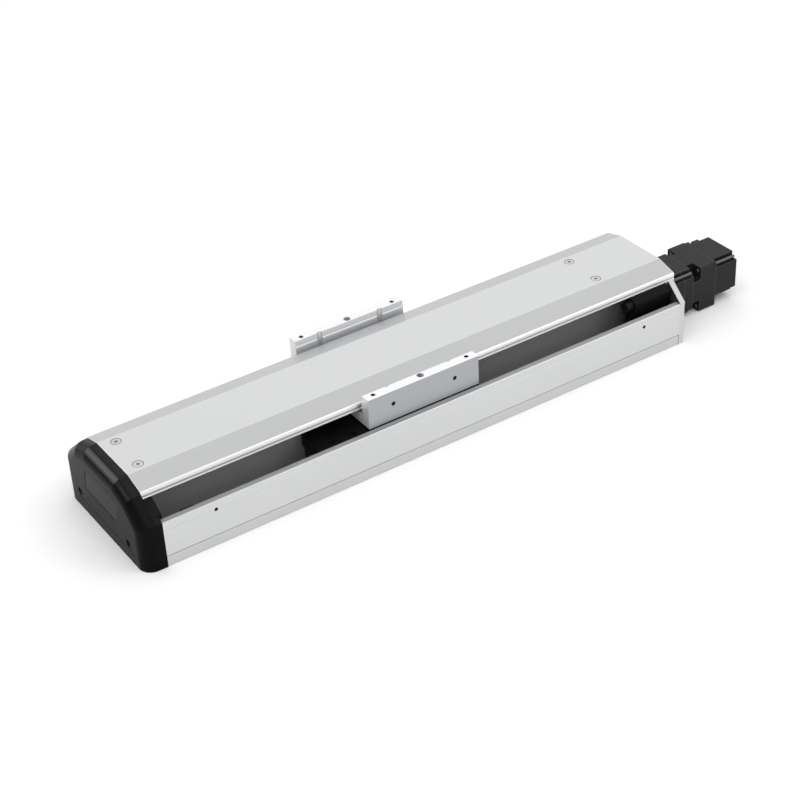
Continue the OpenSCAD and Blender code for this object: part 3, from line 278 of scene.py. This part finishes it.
MATERIALS = {
    "cover": metal(
        "cover_anodised", silver(0.70), 0.80, 0.30, **EXTRUDED,
        # Painted highlight on the faces that look to the near and far side, the lip's nose among them; painted
        # shade on those that slope to either end, as in the countersinks
        faces=[(NEAR, 0.45, 0.70, silver(0.96)), (FAR, 0.45, 0.70, silver(0.96)),
               (MOTOR_SLOPE, 0.84, 0.94, grey(0.05)), (CAP_SLOPE, 0.84, 0.94, grey(0.05))],
        # Painted shade in the lip's recess and a painted highlight along the rounded edges
        bands=[(LIP_BEAD, LIP_NOSE, silver(0.45))], crease_highlight=silver(0.88)),
    "wall": metal(
        "wall_anodised", silver(0.735), 0.70, 0.34, **EXTRUDED,
        # Painted shade on the top of the wall under the slots; the strip along the foot of the base is darker
        faces=[(TOP, 0.80, 0.95, silver(0.46))], bands=[(SILL_LOW, SILL_TOP, silver(0.665))]),
    "ear": metal(
        "carriage_anodised", (0.452, 0.460, 0.483), 0.45, 0.34, grain=(3, 1, 1), grain_mm=3.0, bump=0.02,
        vary=0.015, rough_vary=0.04, edge_mm=0.4,
        # Painted light on the end faces, round the top faces and on the faces that look inwards; painted shadow
        # on the strip where the ears come out of the slots
        faces=[(CAP_END, 0.60, 0.90, silver(0.88)), (MOTOR_END, 0.60, 0.90, silver(0.88))],
        bands=[(EAR_RIM, ABOVE_EARS, silver(0.95)), (FOOT_LOW, FOOT_TOP, grey(0.004))],
        painted_inner_light=(0.68, 0.685, 0.70)),
    "end_plate": metal(
        "end_plate_anodised", silver(0.70), 0.80, 0.36, grain=(1, 20, 1), grain_mm=2.0, bump=0.02,
        # Painted shade on the faces that look towards the end cap
        vary=0.02, rough_vary=0.04, faces=[(CAP_END, 0.30, 0.60, (0.11, 0.11, 0.112))]),
    "black_anodised": metal(
        "black_anodised", (0.006, 0.006, 0.0065), 0.3, 0.45, grain=(4, 1, 1), grain_mm=4.0, bump=0.08,
        vary=0.10, specular=0.15),
    "guard": metal(
        "guard_painted", silver(0.36), 0.2, 0.50, grain=(20, 1, 1), grain_mm=3.0, bump=0.03, specular=0.3),
    "rail": metal(
        "rail_ground_steel", (0.62, 0.62, 0.63), 1.0, 0.24, grain_mm=3.0, bump=0.04, edge_mm=0.2),
    "block": metal(
        "block_ground_steel", (0.55, 0.55, 0.56), 1.0, 0.30, grain=(40, 1, 1), grain_mm=3.0, bump=0.05),
    "bright": metal(
        "bright_steel", (0.68, 0.68, 0.69), 1.0, 0.18, grain=(1, 1, 1), grain_mm=3.0, bump=0.04, edge_mm=0.15),
    "screw_black": metal(
        "screw_black_oxide", (0.030, 0.030, 0.032), 0.7, 0.34, **COARSE_BLACK, specular=0.3),
    "riser_screw": metal(
        "riser_screw_black", (0.008, 0.008, 0.0085), 0.4, 0.45, **COARSE_BLACK, specular=0.15),
    "cover_screw": metal(
        "cover_screw_zinc", (0.66, 0.66, 0.67), 0.8, 0.28, grain=(1, 1, 1), grain_mm=5.0, bump=0.06,
        edge_mm=0.2, vary=0.1),
    "hub": metal(
        "hub_machined", (0.72, 0.72, 0.73), 1.0, 0.26, grain=(1, 40, 40), grain_mm=3.0, bump=0.08),
    "brass": metal(
        "brass_machined", (0.74, 0.53, 0.22), 1.0, 0.25, grain=(1, 1, 1), grain_mm=4.0, bump=0.06, edge_mm=0.15),
    # Edge wear with a painted highlight, and the rods in the notches lighter with a painted highlight
    "motor": plastic(
        "motor_black_coat", (0.012, 0.012, 0.0125), 0.34, edge_mm=0.7, texture_mm=1.6, bump=0.08,
        specular=0.2, edge_wear_and_highlight=MOTOR_EDGE_WEAR_AND_HIGHLIGHT, rods=MOTOR_ROD_AND_HIGHLIGHT),
    "encoder": plastic(
        "encoder_black_moulding", (0.010, 0.010, 0.0105), 0.32, edge_mm=0.7, texture_mm=3.0, bump=0.05,
        specular=0.2, edge_wear_and_highlight=MOTOR_EDGE_WEAR_AND_HIGHLIGHT, rods=MOTOR_ROD_AND_HIGHLIGHT),
    "cap": plastic(
        "end_cap_gloss_moulding", (0.0035, 0.0035, 0.0037), 0.27, edge_mm=1.2, texture_mm=0.6, bump=0.005,
        vary=0.1, specular=0.055,
        # Painted light on the top faces and a painted highlight along the brow
        faces=[(TOP, 0.70, 0.98, (0.020, 0.020, 0.021)), (BROW_HIGHLIGHT, 0.955, 1.0, (0.11, 0.11, 0.112))]),
    "panel": plastic(
        "bare_panel", (0.008, 0.008, 0.0085), 0.38, edge_mm=0.3, texture_mm=4.0, bump=0.05, specular=0.16),
    "plastic": plastic("black_moulding", (0.014, 0.014, 0.0145), 0.45, specular=0.3),
    "rubber": plastic(
        "bumper_rubber", grey(0.006), 0.55, edge_mm=0.6, texture_mm=3.0, bump=0.15, specular=0.2),
    "spider": plastic("spider_polyurethane", (0.42, 0.035, 0.025), 0.40, edge_mm=0.3),
    # Dark as painted shade inside the holes and in the gaps round the cover screws
    "thread": metal(
        "tapped_thread_and_hole_shade", (0.025, 0.025, 0.026), 0.6, 0.40, grain=(1, 1, 1), grain_mm=4.0, bump=0.05,
        edge_mm=0.05, specular=0.2),
}

LOOKS = {
    "cover": ["top_cover"],
    "wall": ["base_profile"],
    "ear": ["carriage"],
    "end_plate": ["end_plate"],
    "black_anodised": ["idle_housing", "bearing_housing", "near_riser", "far_riser"],
    "guard": ["near_guard", "far_guard"],
    "rail": ["near_rail", "far_rail"],
    "block": ["near_front_block", "near_rear_block", "far_front_block", "far_rear_block", "ball_nut"],
    "bright": ["ball_screw", "idle_bearing", "fixed_bearings", "idle_bearing_inner", "fixed_bearing_inners",
               "motor_shaft", "stop_posts"],
    "screw_black": ["rail_screws", "end_cap_screws", "bearing_retainer", "retainer_screws", "housing_screws",
                    "guard_screws", "end_plate_screws", "adapter_screws", "motor_screws", "encoder_cover_screws",
                    "nut_screws", "retaining_ring", "lock_nut", "hub_screws"],
    "riser_screw": ["riser_screws", "block_screws"],
    "cover_screw": ["cover_screws"],
    "hub": ["screw_hub", "motor_hub"],
    "brass": ["grease_nipples"],
    "motor": ["motor_adapter", "motor_flange", "motor_body"],
    "encoder": ["encoder_cover"],
    "cap": ["end_cap"],
    "panel": ["end_cap_panel"],
    "plastic": ["block_caps", "nut_caps", "power_socket", "encoder_socket"],
    "rubber": ["idle_bumpers", "drive_bumpers"],
    "spider": ["coupling_spider"],
}
for look, names in LOOKS.items():
    for name in names:
        nodes[name].data.materials.clear()
        nodes[name].data.materials.append(MATERIALS[look])


# ------------------------------------------------------------------ new pieces

def add_mesh(name, verts, faces, look, body):
    """A new piece in millimetres that rides on a CAD body."""
    mesh = bpy.data.meshes.new(name)
    mesh.from_pydata([(x * MM, y * MM, z * MM) for x, y, z in verts], [], faces)
    mesh.validate()
    for poly in mesh.polygons:
        poly.use_smooth = True
    mesh.materials.append(MATERIALS[look])
    obj = bpy.data.objects.new(name, mesh)
    bpy.context.scene.collection.objects.link(obj)
    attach(obj, body)
    return obj


def loft(count, sides):
    """The faces between rings of points that follow one another."""
    faces = []
    for i in range(count - 1):
        for k in range(sides):
            n = (k + 1) % sides
            faces.append((i * sides + k, i * sides + n, (i + 1) * sides + n, (i + 1) * sides + k))
    return faces


SCREW_R = 8.0
SCREW_SIDES = 40
LEAD, STARTS = 16.0, 2
GROOVE_HALF, GROOVE_DEEP = 1.75, 1.15
THREAD_FROM, THREAD_TO, THREAD_STEP = -301.0, 292.0, 0.5
RUN_OUT = 3.0       # the length over which the grooves fade at either end

# Stations and radii of the turned journals at either end of the thread
IDLE_JOURNAL = [(-329.0, 0.0), (-329.0, 4.6), (-328.6, 5.0), (-325.1, 5.0), (-325.1, 4.5), (-324.0, 4.5),
                (-324.0, 5.0), (-316.0, 5.0), (-316.0, 6.5), (-304.0, 6.5), (-304.0, 7.4), (-303.2, 8.0),
                (THREAD_FROM, SCREW_R)]
DRIVE_JOURNAL = [(THREAD_TO, SCREW_R), (297.2, 8.0), (298.0, 7.4), (298.0, 6.0), (327.0, 6.0), (327.4, 5.6),
                 (327.4, 5.0), (341.0, 5.0), (341.4, 4.6), (341.4, 0.0)]


def screw_radius(x, turn):
    """Radius of the ball screw at a station and a share of a turn: two round helical grooves."""
    phase = (x * STARTS / LEAD - turn * STARTS) % 1.0
    off = abs(phase - 0.5) * LEAD / STARTS
    if off >= GROOVE_HALF:
        return SCREW_R
    ease = min(1.0, (x - THREAD_FROM) / RUN_OUT, (THREAD_TO - x) / RUN_OUT)
    return SCREW_R - ease * GROOVE_DEEP * math.sqrt(1 - (off / GROOVE_HALF) ** 2)


def ball_screw():
    stations = [THREAD_FROM + i * THREAD_STEP for i in range(1, int((THREAD_TO - THREAD_FROM) / THREAD_STEP))]
    rings = [[row] * SCREW_SIDES for row in IDLE_JOURNAL]
    rings += [[(x, screw_radius(x, k / SCREW_SIDES)) for k in range(SCREW_SIDES)] for x in stations]
    rings += [[row] * SCREW_SIDES for row in DRIVE_JOURNAL]
    verts = []
    for points in rings:
        for k, (x, radius) in enumerate(points):
            angle = 2 * math.pi * k / SCREW_SIDES
            verts.append((x, AXIS_Y + radius * math.cos(angle), AXIS_Z + radius * math.sin(angle)))
    return add_mesh("ball_screw_thread", verts, loft(len(rings), SCREW_SIDES), "bright", "screw")


TURN_SIDES = 20
RIDGE_HIGH, RIDGE_FOOT = 0.30, 0.03     # of a thread's ridge, in from the hole's wall
THREAD_MOUTH = 0.35                     # the countersink, which has no thread
PLUG_IN, PLUG_UP = 0.04, 0.4            # of the disc at the bottom, from the wall and the hole's end


def around(place, axis):
    """Gives a function that places a point round a hole, from a turn, a radius and a depth below its mouth."""
    out = Vector(axis)
    across = out.orthogonal().normalized()
    beside = out.cross(across)

    def point(turn, radius, depth):
        angle = 2 * math.pi * turn
        away = across * math.cos(angle) + beside * math.sin(angle)
        return tuple(Vector(place) + away * radius - out * depth)

    return point


def thread_turns(place, axis, radius, pitch, depth):
    """The wall of a tapped hole: a fine helical ridge from its mouth down, closed by a disc at its end."""
    point = around(place, axis)
    profile = ((radius - RIDGE_FOOT, 0.0), (radius - RIDGE_HIGH, 0.5), (radius - RIDGE_FOOT, 1.0))
    steps = int(TURN_SIDES * (depth - pitch) / pitch)
    verts, faces = [], []
    for i in range(steps + 1):
        turn = i / TURN_SIDES
        verts += [point(turn, r, THREAD_MOUTH + pitch * (turn + share)) for r, share in profile]
    for i in range(steps):
        for j in (0, 1):
            faces.append((3 * i + j, 3 * i + j + 1, 3 * i + j + 4, 3 * i + j + 3))
    rim = len(verts)
    verts += [point(i / TURN_SIDES, radius - PLUG_IN, depth - PLUG_UP) for i in range(TURN_SIDES)]
    faces.append(tuple(range(rim, rim + TURN_SIDES)))
    return verts, faces


def recess(place, axis, radius, depth):
    """The bottom of a shallow hole, dark as painted shade: a cone with one ridge round it."""
    point = around(place, axis)
    profile = ((radius, 0.0), (radius - 0.25, 0.35), (radius - 0.30, 0.62), (radius - 0.1, depth))
    verts = [point(i / TURN_SIDES, r, d + 0.03) for r, d in profile for i in range(TURN_SIDES)]
    faces = loft(len(profile), TURN_SIDES)
    faces.append(tuple(range(len(verts) - TURN_SIDES, len(verts))))
    return verts, faces


def flat_ring(place, inner, outer):
    """A flat ring that looks up, such as the painted shadow in the gap round a countersunk head."""
    verts = []
    for i in range(TURN_SIDES):
        angle = 2 * math.pi * i / TURN_SIDES
        for r in (inner, outer):
            verts.append((place[0] + r * math.cos(angle), place[1] + r * math.sin(angle), place[2]))
    steps = [(2 * i, 2 * ((i + 1) % TURN_SIDES)) for i in range(TURN_SIDES)]
    return verts, [(i, i + 1, j + 1, j) for i, j in steps]


def add_dark(name, parts, body):
    """One dark piece of painted shade from several lists of points and faces."""
    verts, faces = [], []
    for points, corners in parts:
        faces += [tuple(len(verts) + k for k in face) for face in corners]
        verts += points
    return add_mesh(name, verts, faces, "thread", body)


M5, M6, M8 = (2.1, 0.8), (2.5, 1.0), (3.4, 1.25)        # core radius and pitch
BOTH = (-1, 1)
BASE_HOLES = [(i * 100.0, s * 74.0, 0.0) for i in range(-3, 4) for s in BOTH]
WALL_HOLES = [(x, s * 87.5, 44.7) for x in (-274.0, 285.0) for s in BOTH]
EAR_HOLES = [(CARRIAGE_X + e * 60.0, s * 72.0, EAR_TOP - 0.3) for e in BOTH for s in BOTH]
EAR_SIDE_HOLES = [(CARRIAGE_X + e * 39.6, s * EAR_OUT, EAR_SIDE_Z) for e in BOTH for s in BOTH]
COVER_SCREWS = [(x, s * 24.4, 87.02) for x in (-324.0, 264.6) for s in BOTH]
GAP_INNER, GAP_OUTER = 5.4, 6.0


def outward(place):
    """The axis across the part, away from its middle plane."""
    return 0, math.copysign(1, place[1]), 0


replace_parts(ball_screw(), "ball_screw")
# Dark pieces of painted shade inside the holes and round the cover screws; the threads' ridges are their own
add_dark("base_threads", [thread_turns(place, (0, 0, -1), *M8, 10.5) for place in BASE_HOLES], "base")
add_dark("wall_threads", [thread_turns(place, outward(place), *M5, 7.0) for place in WALL_HOLES], "base")
add_dark("ear_threads", [thread_turns(place, TOP, *M6, 13.0) for place in EAR_HOLES], "carriage")
add_dark("ear_side_holes", [recess(place, outward(place), 2.44, 0.93) for place in EAR_SIDE_HOLES], "carriage")
add_dark("cover_screw_gap_shadows", [flat_ring(place, GAP_INNER, GAP_OUTER) for place in COVER_SCREWS], "base")


# ------------------------------------------------------------------ stage

FLOOR_HALF = 6.0
WORLD_LIGHT = 0.72
WORLD_SEEN = 1.0

# The paper is a little whiter to the camera than to the lamps, so it reads as white and keeps its shadow
paper = Shader("floor_paper")
cloud = paper.noise(PAPER_PATCHES)
lit = paper.mix(cloud, grey(0.92), grey(0.94))
shown = paper.mix(cloud, grey(1.09), grey(1.10))
to_camera = paper.add("LightPath").outputs["Is Camera Ray"]
paper.feed(paper.mix(to_camera, lit, shown), paper.bsdf.inputs["Base Color"])
paper.bsdf.inputs["Roughness"].default_value = 0.9
paper.bsdf.inputs["Specular IOR Level"].default_value = 0.1

corners = [(x * FLOOR_HALF, y * FLOOR_HALF, 0) for x, y in ((-1, -1), (1, -1), (1, 1), (-1, 1))]
sheet = bpy.data.meshes.new("floor")
sheet.from_pydata(corners, [], [(0, 1, 2, 3)])
sheet.materials.append(paper.mat)
floor = bpy.data.objects.new("floor", sheet)
bpy.context.scene.collection.objects.link(floor)

world = bpy.data.worlds.new("studio")
bpy.context.scene.world = world
world.use_nodes = True
sky = world.node_tree
background = sky.nodes["Background"]
background.inputs["Color"].default_value = (1, 1, 1, 1)
sight = sky.nodes.new("ShaderNodeLightPath")
seen = sky.nodes.new("ShaderNodeMapRange")
seen.inputs["To Min"].default_value = WORLD_LIGHT
seen.inputs["To Max"].default_value = WORLD_SEEN
sky.links.new(sight.outputs["Is Camera Ray"], seen.inputs["Value"])
sky.links.new(seen.outputs["Result"], background.inputs["Strength"])


def softbox(name, location, target, size, power):
    """An area lamp: place, target and size in metres, power in watts."""
    light = bpy.data.lights.new(name, "AREA")
    light.shape = "RECTANGLE"
    light.size, light.size_y = size
    light.energy = power
    obj = bpy.data.objects.new(name, light)
    obj.location = location
    obj.rotation_euler = (Vector(target) - Vector(location)).to_track_quat("-Z", "Y").to_euler()
    bpy.context.scene.collection.objects.link(obj)


softbox("top_box", (-0.7, -0.7, 2.4), (0, 0, 0), (2.2, 2.0), 16)
softbox("back_box", (1.1, 1.9, 1.5), (0, 0, 0), (2.6, 1.4), 4)
softbox("brow_box", (-1.75, 1.75, 1.10), (-0.35, 0, 0.05), (1.5, 0.35), 2.5)
softbox("lip_box", (1.20, -1.30, 1.65), (0.1, 0, 0.05), (1.0, 1.7), 7)


# ------------------------------------------------------------------ camera

# Fitted to the photograph; the azimuth is counted from the near side
CAM_PLACE = (-0.9094, -1.4498, 1.1772)
CAM_AZIMUTH, CAM_ELEVATION, CAM_ROLL = -32.282, 34.163, -3.111
CAM_LENS, CAM_SENSOR = 83.672, 36
CAM_FAR = 50

azimuth, elevation, roll = (math.radians(v) for v in (CAM_AZIMUTH, CAM_ELEVATION, CAM_ROLL))
back = Vector((math.sin(azimuth) * math.cos(elevation), -math.cos(azimuth) * math.cos(elevation),
               math.sin(elevation)))
level = Vector((0, 0, 1)).cross(back).normalized()
upright = back.cross(level)
right = level * math.cos(roll) + upright * math.sin(roll)
above = upright * math.cos(roll) - level * math.sin(roll)
optics = bpy.data.cameras.new("camera")
optics.lens = CAM_LENS
optics.sensor_width = CAM_SENSOR
optics.clip_end = CAM_FAR
camera = bpy.data.objects.new("camera", optics)
camera.matrix_world = Matrix((
    (right.x, above.x, back.x, CAM_PLACE[0]),
    (right.y, above.y, back.y, CAM_PLACE[1]),
    (right.z, above.z, back.z, CAM_PLACE[2]),
    (0, 0, 0, 1),
))
bpy.context.scene.collection.objects.link(camera)
bpy.context.scene.camera = camera
bpy.context.scene.view_settings.view_transform = "Standard"
